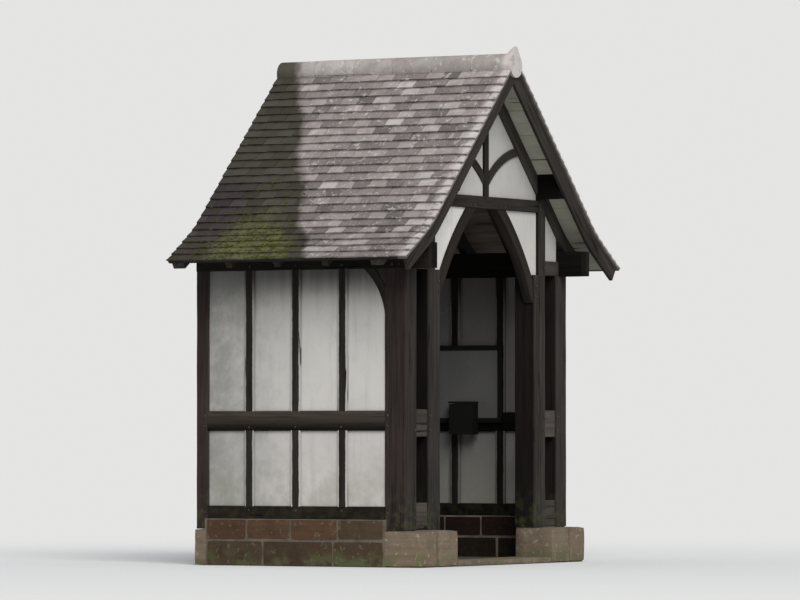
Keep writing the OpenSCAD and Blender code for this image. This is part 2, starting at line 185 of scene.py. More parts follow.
class Builder:
    """Gathers the solids of one piece."""

    def __init__(self):
        self.verts = []
        self.faces = []
        self.grain = []
        self.tint = []

    def add(self, spots, faces, tint):
        """Adds a solid. Each spot is a vertex and its place along the grain."""
        base = len(self.verts)
        self.verts += [vertex for vertex, _ in spots]
        self.grain += [along for _, along in spots]
        self.faces += [[base + i for i in face] for face in faces]
        self.tint += [tint] * len(spots)

    def finish(self, name, material, slot, nodes=(), sharp=28):
        """Makes the piece, which stands in for its nodes. Its edges are sharp past so many degrees."""
        mesh = bpy.data.meshes.new(name)
        mesh.from_pydata([tuple(v) for v in self.verts], [], self.faces)
        grain = [c for along in self.grain for c in along]
        mesh.attributes.new("grain", "FLOAT_VECTOR", "POINT").data.foreach_set("vector", grain)
        mesh.attributes.new("tint", "FLOAT", "POINT").data.foreach_set("value", self.tint)
        work = bmesh.new()
        work.from_mesh(mesh)
        bmesh.ops.recalc_face_normals(work, faces=work.faces)
        for edge in work.edges:
            edge.smooth = edge.calc_face_angle(0) < math.radians(sharp)
        for face in work.faces:
            face.smooth = True
        work.to_mesh(mesh)
        work.free()
        mesh.materials.append(material)
        piece = put_in_scene(name, mesh)
        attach(piece, "root")
        if nodes:
            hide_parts(*nodes)


def wobble(point, seed, scale):
    """Smooth noise from -1 to 1 at a point."""
    return noise.noise(Vector(point) * scale + Vector((seed * 7.31, seed * 3.17, seed * 5.77)))


def corners(a, b):
    """The lowest and the highest corner of the box between two corners."""
    return Vector([min(p, q) for p, q in zip(a, b)]), Vector([max(p, q) for p, q in zip(a, b)])


def tube(rings, around):
    """Faces of a tube of rings with so many vertices each, both of its ends filled."""
    faces = [[k * around + i, k * around + (i + 1) % around, (k + 1) * around + (i + 1) % around,
              (k + 1) * around + i] for k in range(rings - 1) for i in range(around)]
    faces.append(list(range(around - 1, -1, -1)))
    faces.append([(rings - 1) * around + i for i in range(around)])
    return faces


def swept(out, start, end, thick, width, depth, chamfer=0.006, uneven=0.0025, cut=0):
    """A timber from start to end. Depth runs along thick, width across it, and cut is the end's slope."""
    start, end, thick = Vector(start), Vector(end), Vector(thick)
    length = (end - start).length
    parts = max(2, round(length / RING_STEP))
    ahead = (end - start).normalized()
    across = ahead.cross(thick)
    seed = rng.uniform(0, 50)
    w, d, c = width / 2, depth / 2, chamfer
    ring = [(w, d - c), (w - c, d), (c - w, d), (-w, d - c),
            (-w, c - d), (c - w, -d), (w - c, -d), (w, c - d)]
    spots = []
    for k in range(parts + 1):
        middle = start.lerp(end, k / parts)
        slope = cut if k == parts else 0
        for a, b in ring:
            off = across * a + thick * b
            worn = uneven * (0.5 + 0.5 * wobble(middle + off, seed, 3))
            shrink = 1 - worn / max(abs(a), abs(b), 0.02)
            grain = (length * k / parts + seed, a + seed, b + seed * 2)
            spots.append((middle + off * shrink + ahead * a * slope, grain))
    out.add(spots, tube(parts + 1, len(ring)), rng.random())


def beam(out, a, b, along=None, snug=0, **wear):
    """A straight timber that fills a box, its grain along the longest side or a given axis.

    Snug makes it that much thicker and longer, so that its uneven faces leave no gap to what it meets.
    """
    lo, hi = corners(a, b)
    size = hi - lo
    axis = max(range(3), key=lambda i: size[i]) if along is None else along
    side = [i for i in range(3) if i != axis]
    start = (lo + hi) / 2
    end = start.copy()
    start[axis] = lo[axis] - snug / 2
    end[axis] = hi[axis] + snug / 2
    thick = Vector((0, 0, 0))
    thick[side[1]] = 1
    swept(out, start, end, thick, size[side[0]] + snug, size[side[1]] + snug, **wear)


def rough_box(out, a, b, step=0.05, edge=0.012, uneven=0.006, bumps=9, dip=0):
    """A block of stone that fits in its box, with rounded edges, uneven faces and a top worn by a dip."""
    lo, hi = corners(a, b)
    size = hi - lo
    parts = [max(2, min(16, round(size[i] / step))) for i in range(3)]
    seed = rng.uniform(0, 50)
    rim = Vector((edge, edge, edge))
    inner_lo, inner_hi = lo + rim, hi - rim
    index, spots = {}, []

    def vertex(*key):
        if key not in index:
            p = Vector([lo[i] + size[i] * key[i] / parts[i] for i in range(3)])
            core = Vector([min(max(p[i], inner_lo[i]), inner_hi[i]) for i in range(3)])
            p = core + (p - core).normalized() * (edge - uneven * (0.5 + 0.5 * wobble(p, seed, bumps)))
            if dip and key[2] == parts[2]:
                p.z -= dip * math.sin(math.pi * key[0] / parts[0]) ** 2
            index[key] = len(spots)
            spots.append((p, (p.x + seed, p.y + seed, p.z + seed)))
        return index[key]

    faces = []
    for axis, u, v in ((0, 1, 2), (1, 0, 2), (2, 0, 1)):
        for end, i, j in product((0, parts[axis]), range(parts[u]), range(parts[v])):
            quad = []
            for di, dj in ((0, 0), (1, 0), (1, 1), (0, 1)):
                key = [end] * 3
                key[u], key[v] = i + di, j + dj
                quad.append(vertex(*key))
            faces.append(quad)
    out.add(spots, faces, rng.random())


def boxes_of(make, name, material, slot, node, boxes, **how):
    """One piece made of beams or rough boxes, each given by two opposite corners."""
    piece = Builder()
    for a, b in boxes:
        make(piece, a, b, **how)
    piece.finish(name, material, slot, [node], sharp=60 if make is rough_box else 28)


class Shader:
    """A procedural material built node by node, with a colour that is laid on coat by coat."""

    def __init__(self, name, roughness, specular):
        self.material = bpy.data.materials.new(name)
        self.material.use_nodes = True
        self.tree = self.material.node_tree
        self.surface = self.tree.nodes["Principled BSDF"]
        self.put(self.surface.inputs["Roughness"], roughness)
        self.put(self.surface.inputs["Specular IOR Level"], specular)
        self.place = self.add("ShaderNodeTexCoord").outputs["Object"]
        self.x, self.y, self.z = self.split(self.place)
        self.aside = self.math("ABSOLUTE", self.x)
        self.colour = None

    def put(self, socket, value):
        """Links an output to a socket, or sets the socket to a number, a vector or a colour."""
        if isinstance(value, bpy.types.NodeSocket):
            self.tree.links.new(value, socket)
        elif socket.type == "RGBA":
            socket.default_value = (*value, 1)
        else:
            socket.default_value = value

    def add(self, kind, inputs=(), **settings):
        node = self.tree.nodes.new(kind)
        for key, value in settings.items():
            setattr(node, key, value)
        for key, value in dict(inputs).items():
            self.put(node.inputs[key], value)
        return node

    def attribute(self, name, output):
        return self.add("ShaderNodeAttribute", attribute_name=name).outputs[output]

    def tint(self):
        """A number from 0 to 1 that is the same all over one tile, stone or timber."""
        return self.attribute("tint", "Fac")

    def split(self, vector):
        return self.add("ShaderNodeSeparateXYZ", {0: vector}).outputs

    def join(self, x, y, z):
        return self.add("ShaderNodeCombineXYZ", {0: x, 1: y, 2: z}).outputs[0]

    def scaled(self, vector, scale):
        return self.add("ShaderNodeVectorMath", {0: vector, 1: scale}, operation="MULTIPLY").outputs[0]

    def math(self, operation, a, b=0):
        return self.add("ShaderNodeMath", {0: a, 1: b}, operation=operation).outputs[0]

    def times(self, value, *others):
        for other in others:
            value = self.math("MULTIPLY", value, other)
        return value

    def plus(self, a, b):
        return self.math("ADD", a, b)

    def minus(self, a, b):
        return self.math("SUBTRACT", a, b)

    def distance(self, a, b):
        return self.math("SQRT", self.plus(self.times(a, a), self.times(b, b)))

    def span(self, value, start, end, from_value=0, to_value=1):
        """Runs smoothly from one value at the start to another at the end."""
        inputs = zip(("Value", "From Min", "From Max", "To Min", "To Max"),
                     (value, start, end, from_value, to_value))
        return self.add("ShaderNodeMapRange", inputs, interpolation_type="SMOOTHSTEP").outputs[0]

    def noise(self, scale, detail=4, roughness=0.55, distortion=0, over=None):
        """Noise over the object's own coordinates or over another vector."""
        inputs = {"Vector": over or self.place, "Scale": scale, "Detail": detail, "Roughness": roughness,
                  "Distortion": distortion}
        return self.add("ShaderNodeTexNoise", inputs).outputs[0]

    def streaks(self, vector, stretch, *how, scale=1):
        """Noise that is finer along some axes than along others."""
        return self.noise(scale, *how, over=self.scaled(vector, stretch))

    def cell_edges(self, vector, scale):
        inputs = {"Vector": vector, "Scale": scale}
        return self.add("ShaderNodeTexVoronoi", inputs, feature="DISTANCE_TO_EDGE").outputs["Distance"]

    def sideways(self):
        """1 on faces that look along X."""
        normal = self.split(self.add("ShaderNodeNewGeometry").outputs["Normal"])[0]
        return self.span(self.math("ABSOLUTE", normal), 0.6, 0.8)

    def indoors(self):
        """1 nearer to the middle than the outer faces of the side walls."""
        return self.span(self.aside, INDOOR_X, INDOOR_X - 0.02)

    def ramp(self, factor, tones):
        """A colour from evenly spaced tones."""
        node = self.add("ShaderNodeValToRGB", {0: factor})
        elements = node.color_ramp.elements
        while len(elements) < len(tones):
            elements.new(0.5)
        for k, tone in enumerate(tones):
            elements[k].position = k / (len(tones) - 1)
            elements[k].color = (*tone, 1)
        return node.outputs[0]

    def mix(self, factor, a, b, blend="MIX"):
        inputs = {0: factor, 6: a, 7: b}
        return self.add("ShaderNodeMix", inputs, data_type="RGBA", blend_type=blend).outputs[2]

    def dimmed(self, colour, value):
        """A colour times one value."""
        return self.mix(1, colour, self.join(value, value, value), "MULTIPLY")

    def coat(self, tone, *cover):
        """Lays a tone over the colour, as dense as the product of the covers."""
        self.colour = self.mix(self.times(*cover), self.colour, tone)

    def shade(self, tone, *cover):
        """Multiplies the colour by a tone, as much as the product of the covers."""
        self.colour = self.mix(self.times(*cover), self.colour, tone, "MULTIPLY")

    def dim(self, value):
        self.colour = self.dimmed(self.colour, value)

    def bump(self, height, strength, distance):
        node = self.add("ShaderNodeBump", {"Height": height, "Strength": strength, "Distance": distance})
        self.put(self.surface.inputs["Normal"], node.outputs[0])

    def finish(self):
        self.put(self.surface.inputs["Base Color"], self.colour)
        return self.material


def toned(colour, by):
    return tuple(c * by for c in colour)


def oak(name, tones, along=None, moss=0, layers=()):
    """Weathered oak from a dark, a light and a crack tone.

    Fibres and drying cracks run along the grain attribute, or along a given vector, and each layer lays
    painted light and shade, limewash or stains over them.
    """
    dark, light, crack = tones
    s = Shader(name, 0.85, 0.1)
    grain = along(s) if along else s.attribute("grain", "Vector")
    fibres = s.streaks(grain, (3, 130, 130), 5, 0.6)
    bands = s.streaks(grain, (1.2, 22, 22), 4, 0.55, 0.6)
    patches = s.streaks(grain, (1, 3, 3), 3, scale=1.3)
    cracks = s.streaks(grain, (1.6, 34, 34), 2, 0.4, 0.3)
    cracks = s.times(s.span(cracks, 0.63, 0.68), s.span(patches, 0.4, 0.6))
    s.colour = s.mix(s.span(bands, 0.3, 0.7), dark, light)
    s.coat(toned(light, 1.45), s.span(fibres, 0.35, 0.75), 0.45)
    s.coat(dark, s.span(patches, 0.35, 0.7), 0.5)
    if not along:
        s.dim(s.span(s.tint(), 0, 1, 0.82, 1.18))
    for layer in layers:
        layer(s, patches, fibres)
    s.coat(crack, cracks)
    if moss:
        damp = s.times(s.span(s.z, 0.75, 0.25), s.span(s.noise(14), 0.42, 0.62), moss)
        s.coat((0.07, 0.085, 0.03), damp)
    s.bump(s.minus(s.times(fibres, 0.5), s.times(cracks, 1.2)), 0.55, 0.004)
    s.put(s.surface.inputs["Roughness"], s.span(fibres, 0.3, 0.8, 0.92, 0.7))
    return s.finish()


def stained_and_shaded(s, patches, fibres):
    """Redder on the faces that look sideways, and painted shade on those of them that are within the porch.
    """
    s.shade((0.8, 0.68, 0.68), s.sideways())
    s.shade((0.3, 0.3, 0.3), s.sideways(), s.indoors())


def shaded_indoors(s, patches, fibres):
    """Painted shade within the porch."""
    s.shade((0.36, 0.34, 0.34), s.indoors())


def lit_soffit(s, patches, fibres):
    """Painted light on the boards under the front overhang, dimmer towards the eaves, and bare boards at the
    very edge.
    """
    soffit_light = s.mix(s.span(patches, 0.3, 0.7), (0.5, 0.49, 0.4), (0.36, 0.35, 0.28))
    soffit_light = s.mix(s.times(s.span(fibres, 0.5, 0.75), 0.4), soffit_light, (0.24, 0.23, 0.18))
    soffit_light = s.dimmed(soffit_light, s.span(s.z, PLATE_Z, COLLAR_TOP + 0.3, 0.68, 1.06))
    s.coat(soffit_light, s.span(s.y, FRONT_Y + 0.01, FRONT_Y))
    s.coat((0.02, 0.017, 0.014), s.span(s.aside, EAVE_X - 0.1, EAVE_X - 0.07))


def rail_light_and_shade(s, patches, fibres):
    """A rail that is weathered pale and painted lighter along its top, with painted shade along its lower
    edge and indoors.
    """
    s.dim(s.span(s.z, RAIL_Z - 0.01, RAIL_TOP, 0.1, 1.75))
    s.shade((0.4, 0.4, 0.4), s.indoors())


def limed(s, patches, fibres):
    """Limewash from the panels that laps a finger's width over both edges of each stud, darkened by the
    panels' painted shade.
    """
    pitch = BAY + STUD_W
    turns = s.math("DIVIDE", s.minus(s.y, WALL_Y + pitch - STUD_W / 2), pitch)
    off = s.times(s.math("ABSOLUTE", s.minus(turns, s.math("ROUND", turns))), pitch)
    off = s.plus(off, s.times(s.minus(s.noise(9, 4), 0.5), 0.016))
    lap = s.span(off, STUD_W / 2 - 0.0165, STUD_W / 2 - 0.013)
    lime = s.mix(s.span(patches, 0.3, 0.7), (0.44, 0.425, 0.395), (0.36, 0.35, 0.325))
    # The lime takes the panels' painted shade: towards the rear, under the eaves and indoors.
    lime = s.dimmed(lime, s.span(s.y, 0.15, REAR_IN_Y - 0.2, 1, 0.7))
    lime = s.dimmed(lime, s.span(s.z, PLATE_Z - 0.34, PLATE_Z - 0.02, 1, 0.2))
    lime = s.mix(s.indoors(), lime, (0.28, 0.27, 0.26), "MULTIPLY")
    s.coat(lime, lap, 0.92)


def down_slope(s):
    """Grain coordinates that run down either roof slope."""
    cos, sin = math.cos(PITCH), math.sin(PITCH)
    down = s.minus(s.times(s.aside, cos), s.times(s.z, sin))
    square = s.plus(s.times(s.aside, sin), s.times(s.z, cos))
    return s.join(down, s.plus(s.y, s.math("SIGN", s.x)), square)


def level_grain(s):
    """Grain coordinates that run from front to back."""
    return s.join(s.y, s.x, s.z)


def round_arc(centre, r, in_wall=False):
    """Grain coordinates that run along an arc about a centre, in the end frames or in the side walls."""
    def grain(s):
        across, through = (s.y, s.x) if in_wall else (s.aside, s.y)
        a = s.minus(across, centre[0])
        b = s.minus(s.z, centre[1])
        along = s.times(s.math("ARCTAN2", b, a), r)
        return s.join(along, s.distance(a, b), s.plus(through, s.math("SIGN", s.x)))
    return grain


def lime_plaster(name, painted_shading):
    """Lime-washed plaster with run-off, a damp foot and fine cracks, and the painted light and shade of its
    place.
    """
    s = Shader(name, 0.93, 0.1)
    broad = s.noise(1.1, 4, 0.6)
    blotch = s.noise(6, 5, 0.65)
    fine = s.noise(60, 3, 0.6)
    runs = s.streaks(s.place, (16, 16, 1.1), 4, 0.6)
    s.colour = s.mix(s.span(broad, 0.3, 0.7), (0.565, 0.54, 0.505), (0.49, 0.47, 0.44))
    s.coat((0.38, 0.365, 0.33), s.span(blotch, 0.5, 0.72), 0.28)
    s.coat((0.33, 0.32, 0.28), s.span(runs, 0.52, 0.74), 0.3)
    painted_shading(s, blotch, runs)
    s.coat((0.25, 0.25, 0.19), s.span(s.z, 1.2, 0.54), s.span(blotch, 0.3, 0.62), 0.4)
    cracks = s.cell_edges(s.scaled(s.place, (1, 1, 0.8)), 2.6)
    lines = s.times(s.span(cracks, 0.006, 0.002), s.span(s.noise(2.3), 0.56, 0.66))
    s.coat((0.22, 0.2, 0.17), lines, 0.45)
    relief = s.plus(s.times(blotch, 0.7), s.times(fine, 0.25))
    s.bump(s.minus(relief, s.times(lines, 0.4)), 0.5, 0.008)
    return s.finish()


def on_walls(s, blotch, runs):
    """Side walls: painted shade under the eaves, towards the rear, in the nook of the knee brace and indoors.
    """
    s.shade((0.95, 0.935, 0.95), s.span(s.z, RAIL_TOP, RAIL_Z))
    # Painted shade under the eaves, streaked along the run-off.
    top = s.times(s.span(s.z, PLATE_Z - 0.36, PLATE_Z), s.span(runs, 0.2, 0.6, 0.45, 0.8))
    s.coat((0.165, 0.165, 0.155), top)
    # Painted shade in the nook between the knee brace and the corner post.
    off = s.distance(s.minus(s.y, KNEE_C[0]), s.minus(s.z, KNEE_C[1]))
    foot_z = PLATE_Z - KNEE_H
    nook_shade = s.times(s.span(off, KNEE_R, KNEE_R + 0.015), s.span(s.y, WALL_Y + 0.24, WALL_Y + 0.22),
                   s.span(s.z, foot_z, foot_z + 0.05))
    s.coat((0.035, 0.036, 0.028), nook_shade, 0.85)
    # Deeper painted shade just under the wall plate.
    s.shade((0.4, 0.4, 0.4), s.span(s.z, PLATE_Z - 0.25, PLATE_Z - 0.01))
    # Painted shade towards the rear, next to the church wall, blotchy.
    back = s.times(s.span(s.y, 0, REAR_IN_Y), s.span(blotch, 0.2, 0.7, 0.42, 0.82))
    s.coat((0.185, 0.185, 0.17), back)
    # Painted shade on the inner faces, darker above the rail, with painted light towards the open front.
    indoor_plaster_shade = s.mix(s.span(s.z, RAIL_Z, RAIL_TOP), (0.168, 0.159, 0.15), (0.116, 0.109, 0.102))
    indoor_plaster_shade = s.mix(s.span(blotch, 0.35, 0.65, 0, 0.35), indoor_plaster_shade, (0.1, 0.09, 0.08))
    indoor_plaster_shade = s.dimmed(indoor_plaster_shade, s.span(s.y, WALL_Y + 0.5, WALL_Y + 0.38, 1, 1.55))
    s.coat(indoor_plaster_shade, s.span(s.aside, HALF_W - 0.04, HALF_W - 0.06))


def on_gables(s, blotch, runs):
    """Gables: painted light low on the left and painted shade on the right, duller beside the door posts,
    painted shade on the inner faces.
    """
    # Painted light, brightest low on the left, and painted shade towards the right.
    left, lower = s.span(s.x, -0.6, 0.6, 1.16, 0.86), s.span(s.z, COLLAR_Z, COLLAR_TOP, 1.22, 1)
    s.dim(s.times(left, lower))
    s.dim(s.span(s.aside, DOOR_OUT_X - 0.05, DOOR_OUT_X, 1, 0.78))
    # Painted shade on the inner faces.
    out = s.math("ABSOLUTE", s.minus(s.y, MID_Y))
    s.coat((0.1, 0.09, 0.08), s.span(out, GABLE_IN + 0.01, GABLE_IN), 0.8)


def sandstone(name, tones, lichen, green, painted_shading=None):
    """Bedded sandstone with spots of lichen and a green foot."""
    s = Shader(name, 0.92, 0.15)
    grain = s.attribute("grain", "Vector")
    beds = s.streaks(grain, (2, 2, 26), 4, 0.6, 0.4)
    sand = s.noise(240, 2, 0.6, over=grain)
    blotch = s.noise(7, 5, 0.65, over=grain)
    s.colour = s.ramp(s.tint(), tones)
    s.coat(toned(tones[0], 0.55), s.span(beds, 0.4, 0.7), 0.4)
    s.coat(toned(tones[-1], 0.6), s.span(blotch, 0.45, 0.7), 0.5)
    s.coat(toned(tones[1], 1.5), s.span(sand, 0.4, 0.7), 0.2)
    foot = s.times(s.span(s.z, 0.2, 0), s.span(s.noise(9), 0.4, 0.62), green)
    s.coat((0.075, 0.09, 0.035), foot)
    s.coat((0.42, 0.42, 0.34), s.span(s.noise(24, 3), 0.62, 0.66), lichen)
    if painted_shading:
        painted_shading(s)
    relief = s.plus(s.times(blotch, 0.8), s.times(sand, 0.2))
    s.bump(s.plus(relief, s.times(beds, 0.4)), 0.7, 0.009)
    return s.finish()


def on_plinth(s):
    """Painted shade on the inner faces of the plinth, and painted light towards the front."""
    # Painted shade on the inner faces.
    inner = s.times(s.span(s.aside, PLINTH_IN_X + 0.03, PLINTH_IN_X + 0.005),
                    s.span(s.y, WALL_Y - 0.12, WALL_Y + 0.12), s.span(s.y, REAR_Y - 0.02, REAR_IN_Y + 0.01))
    s.shade((0.145, 0.13, 0.12), inner)
    # Painted light towards the open front.
    s.dim(s.span(s.y, 0.6, WALL_Y, 0.97, 1.22))


def mortar_mix(name, tone):
    s = Shader(name, 0.95, 0.1)
    grit = s.noise(120, 3, 0.6)
    blotch = s.noise(8, 4, 0.6)
    s.colour = s.mix(s.span(blotch, 0.35, 0.65), tone, toned(tone, 0.62))
    s.coat(toned(tone, 1.3), s.span(grit, 0.45, 0.7), 0.35)
    s.bump(s.plus(blotch, s.times(grit, 0.4)), 0.8, 0.006)
    return s.finish()


def shadow_and_damp_zone(s, wander, inset=0):
    """1 on the part of either slope where the church wall's shadow is painted and the tiles are damp, behind
    a line from the ridge's end to the eave.
    """
    line = s.plus(s.times(s.aside, -SHADOW_DAMP_REACH / EAVE_X), SHADOW_DAMP_TOP + inset)
    past = s.plus(s.minus(s.y, line), s.times(s.minus(wander, 0.5), 0.35))
    return s.span(past, -0.05, 0.06)


def clay_tile(name, tones, lichen_amount):
    """Old tiles: a tone for each, grime and painted shade up under the next course, pale lichen, painted
    shadow and damp by the church wall, and moss where it is damp.
    """
    s = Shader(name, 0.9, 0.2)
    grain = s.attribute("grain", "Vector")
    up = s.split(grain)[1]
    wander = s.noise(2.2, 4, 0.6)
    cloud = s.noise(9, 5, 0.65)
    grit = s.noise(130, 3, 0.65, over=grain)
    speck = s.noise(38, 4, 0.7)
    crust = s.noise(13, 4, 0.75)
    # The part of the slopes in the church wall's painted shadow, which is also damp.
    damp = shadow_and_damp_zone(s, wander)
    s.colour = s.ramp(s.tint(), tones)
    s.coat((0.12, 0.1, 0.092), s.span(cloud, 0.35, 0.7), 0.4)
    s.coat((0.36, 0.31, 0.28), s.span(grit, 0.45, 0.75), 0.35)

    lichen = s.math("MAXIMUM", s.span(speck, 0.6, 0.66), s.times(s.span(crust, 0.57, 0.64), 0.85))
    lichen = s.times(lichen, lichen_amount, s.minus(1, s.times(damp, 0.85)))
    s.coat((0.5, 0.47, 0.43), lichen)
    verge = s.times(s.span(s.y, VERGE_Y + 0.13, VERGE_Y + 0.04), s.span(crust, 0.3, 0.52))
    s.coat((0.56, 0.5, 0.47), verge, 0.75)
    # Grime and painted shade up under the tail of the next course.
    s.coat((0.045, 0.04, 0.034), s.span(up, 0.07, 0.105), 0.75)

    # Painted shadow of the church wall over the damp tiles, greener at the front and purpler at the far back.
    far_back = s.times(s.span(s.y, MOSS_BACK - 0.15, MOSS_BACK + 0.12), s.span(s.aside, 0.9, 1.3))
    wet_and_shadow = s.mix(far_back, (0.019, 0.0178, 0.007), (0.0142, 0.0088, 0.0104))
    s.coat(wet_and_shadow, damp, 0.86)
    low_down = s.span(s.plus(s.aside, s.times(cloud, 0.9)), 1.7, 2.15)
    green = s.times(shadow_and_damp_zone(s, wander, inset=0.2), low_down, s.minus(1, s.times(far_back, 0.9)),
                    s.span(s.noise(26, 4, 0.6), 0.34, 0.56))
    s.coat((0.116, 0.114, 0.038), green, 0.85)

    # Lighter and warmer towards the ridge.
    lighter_up = s.span(s.z, COLLAR_Z - 0.5, APEX_Z, 0.97, 1.08)
    s.shade(s.join(lighter_up, s.times(lighter_up, 1.02), s.times(lighter_up, 1.04)), 1)
    relief = s.plus(s.times(grit, 0.5), s.times(lichen, 0.6))
    s.bump(s.plus(relief, s.times(green, 0.8)), 0.6, 0.004)
    return s.finish()


def moss_mat():
    s = Shader("moss", 1, 0)
    tufts = s.noise(180, 3, 0.7)
    s.colour = s.mix(s.span(tufts, 0.35, 0.7), (0.034, 0.037, 0.011), (0.115, 0.116, 0.034))
    s.bump(tufts, 1, 0.01)
    return s.finish()


def painted(name, base, worn, amount):
    s = Shader(name, 0.75, 0.12)
    wear = s.noise(18, 5, 0.7)
    broad = s.noise(3, 3, 0.5)
    s.colour = base
    s.coat(toned(base, 0.75), s.span(broad, 0.35, 0.7), 0.4)
    s.coat(worn, s.span(wear, 0.6, 0.7), amount)
    s.bump(wear, 0.3, 0.003)
    return s.finish()


# Dark, light and crack tones of the oaks
DARK_TONES = ((0.012, 0.0095, 0.0075), (0.03, 0.024, 0.019), (0.004, 0.003, 0.003))
# Sill oak, which also stands as painted shade for the wall plates and purlin ends under the eaves
SILL_AND_EAVE_SHADE_TONES = ((0.006, 0.0045, 0.0032), (0.014, 0.0105, 0.0075), (0.003, 0.002, 0.002))
POST_TONES = ((0.0185, 0.0155, 0.0135), (0.041, 0.035, 0.0305), (0.006, 0.005, 0.004))
SLOPE_TONES = ((0.027, 0.023, 0.02), (0.06, 0.051, 0.045), (0.007, 0.006, 0.005))
FRONT_TONES = ((0.034, 0.0285, 0.0245), (0.075, 0.064, 0.056), (0.008, 0.006, 0.005))
ROOF_TONES = ((0.018, 0.014, 0.011), (0.04, 0.032, 0.026), (0.008, 0.006, 0.005))
BARGE_TONES = ((0.02, 0.017, 0.014), (0.046, 0.039, 0.033), (0.008, 0.006, 0.005))
BOARD_TONES = ((0.078, 0.062, 0.05), (0.145, 0.118, 0.096), (0.031, 0.025, 0.02))

# Tones of the single stones and tiles
RED_TONES = [(0.062, 0.031, 0.017), (0.08, 0.047, 0.026), (0.058, 0.041, 0.024), (0.041, 0.028, 0.017)]
BUFF_TONES = [(0.126, 0.093, 0.063), (0.155, 0.12, 0.083), (0.111, 0.086, 0.062)]
FLAG_TONES = [(0.072, 0.06, 0.049), (0.094, 0.079, 0.065), (0.06, 0.052, 0.043)]
TILE_TONES = [(0.098, 0.081, 0.074), (0.206, 0.17, 0.157), (0.325, 0.273, 0.255),
              (0.141, 0.117, 0.108), (0.255, 0.209, 0.192), (0.45, 0.402, 0.375)]
RIDGE_TONES = [(0.3, 0.265, 0.24), (0.4, 0.36, 0.33)]

RAIL_OAK = oak("rail_oak", DARK_TONES, layers=(shaded_indoors, rail_light_and_shade))
STUD_OAK = oak("stud_oak", DARK_TONES, layers=(shaded_indoors, limed))
SILL_AND_EAVE_SHADE_OAK = oak("sill_and_eave_shade_oak", SILL_AND_EAVE_SHADE_TONES, moss=0.16, layers=(shaded_indoors,))
FRONT_OAK = oak("weathered_oak", FRONT_TONES, moss=0.4, layers=(stained_and_shaded,))
POST_OAK = oak("post_oak", POST_TONES, moss=0.4, layers=(stained_and_shaded,))
FRONT_SLOPE = oak("principal_oak", SLOPE_TONES, along=down_slope)
ROOF_OAK = oak("rafter_oak", ROOF_TONES, along=down_slope)
BARGE_OAK = oak("barge_oak", BARGE_TONES, along=down_slope)
BEAM_OAK = oak("ridge_oak", ROOF_TONES, along=level_grain)
SOFFIT_OAK = oak("soffit_boards", BOARD_TONES, along=level_grain, layers=(lit_soffit,))
ARCH_OAK = oak("arch_oak", DARK_TONES, along=round_arc(ARCH_C, ARCH_R))
STRUT_OAK = oak("strut_oak", POST_TONES, along=round_arc(STRUT_C, STRUT_R))
KNEE_OAK = oak("knee_oak", DARK_TONES, along=round_arc(KNEE_C, KNEE_R, in_wall=True))
WALL_PLASTER = lime_plaster("wall_plaster", on_walls)
GABLE_PLASTER = lime_plaster("gable_plaster", on_gables)
RED_STONE = sandstone("red_sandstone", RED_TONES, lichen=0.1, green=0.75, painted_shading=on_plinth)
BUFF_STONE = sandstone("buff_sandstone", BUFF_TONES, lichen=0.25, green=0.75, painted_shading=on_plinth)
FLAG_STONE = sandstone("flag_stone", FLAG_TONES, lichen=0.03, green=0.22)
MORTAR = mortar_mix("lime_mortar", (0.125, 0.105, 0.08))
RIDGE_MORTAR = mortar_mix("ridge_mortar", (0.6, 0.53, 0.49))
VERGE_MORTAR = mortar_mix("verge_mortar", (0.15, 0.128, 0.112))
BED_MORTAR = mortar_mix("bed_mortar", (0.036, 0.031, 0.026))
TILE = clay_tile("clay_tile", TILE_TONES, 0.74)
RIDGE_CLAY = clay_tile("ridge_clay", RIDGE_TONES, 0.8)
MOSS = moss_mat()
BOARD_PAINT = painted("board_paint", (0.1, 0.098, 0.094), (0.06, 0.055, 0.05), 0.5)
BOX_PAINT = painted("box_paint", (0.005, 0.0045, 0.004), (0.014, 0.012, 0.01), 0.6)


def side_wall(side, sign):
    """Sill, rail, studs, wall plate and corner post of one side."""
    outer, inner = sign * HALF_W, sign * (HALF_W - TIMBER_T)
    bars = (("sill", SILL_AND_EAVE_SHADE_OAK, PLINTH_Z, SILL_Z), ("rail", RAIL_OAK, RAIL_Z, RAIL_TOP))
    for kind, material, foot, top in bars:
        bar = ((outer, WALL_Y, foot), (inner, REAR_IN_Y, top))
        boxes_of(beam, f"oak_{kind}_{side}", material, "dark_oak", f"{kind}_{side}", [bar], snug=SNUG)

    shy = sign * 0.001
    studs = []
    for k in range(STUDS):
        y = WALL_Y + (k + 1) * BAY + k * STUD_W
        for foot, head in ((SILL_Z, RAIL_Z), (RAIL_TOP, PLATE_Z)):
            studs.append(((outer - shy, y, foot), (inner + shy, y + STUD_W, head)))
    boxes_of(beam, f"oak_studs_{side}", STUD_OAK, "dark_oak", f"studs_{side}", studs, snug=SNUG)

    # The wall plate takes the darker sill oak as painted shade under the eaves.
    plate = ((outer, PLATE_Y, PLATE_Z - SNUG / 2), (sign * PLATE_X, REAR_Y, PLATE_TOP))
    boxes_of(beam, f"oak_plate_{side}", SILL_AND_EAVE_SHADE_OAK, "dark_oak", f"plate_{side}", [plate])
    post = ((outer, FRONT_Y, PAD_Z), (sign * CORNER_X, WALL_Y + SNUG, PLATE_Z))
    boxes_of(beam, f"oak_corner_post_{side}", POST_OAK, "weathered_oak", f"post_front_{side}", [post],
             **POST_WEAR)


def door_post(out, sign, y, depth):
    """A door post with a shoulder on its inner side, its head cut to the slope of the principal rafter."""
    outer, top = sign * DOOR_OUT_X, sign * HEAD_X
    beam(out, (sign * DOOR_IN_X, y, PAD_Z), (outer, y + depth, PLATE_Z), **POST_WEAR)
    x, mid_y = (outer + top) / 2, y + depth / 2
    head = slope_z(abs(x), PRINCIPAL_O)
    swept(out, (x, mid_y, PLATE_Z - 0.01), (x, mid_y, head), (0, 1, 0), abs(top - outer), depth,
          chamfer=0.008, cut=math.tan(PITCH) * sign)


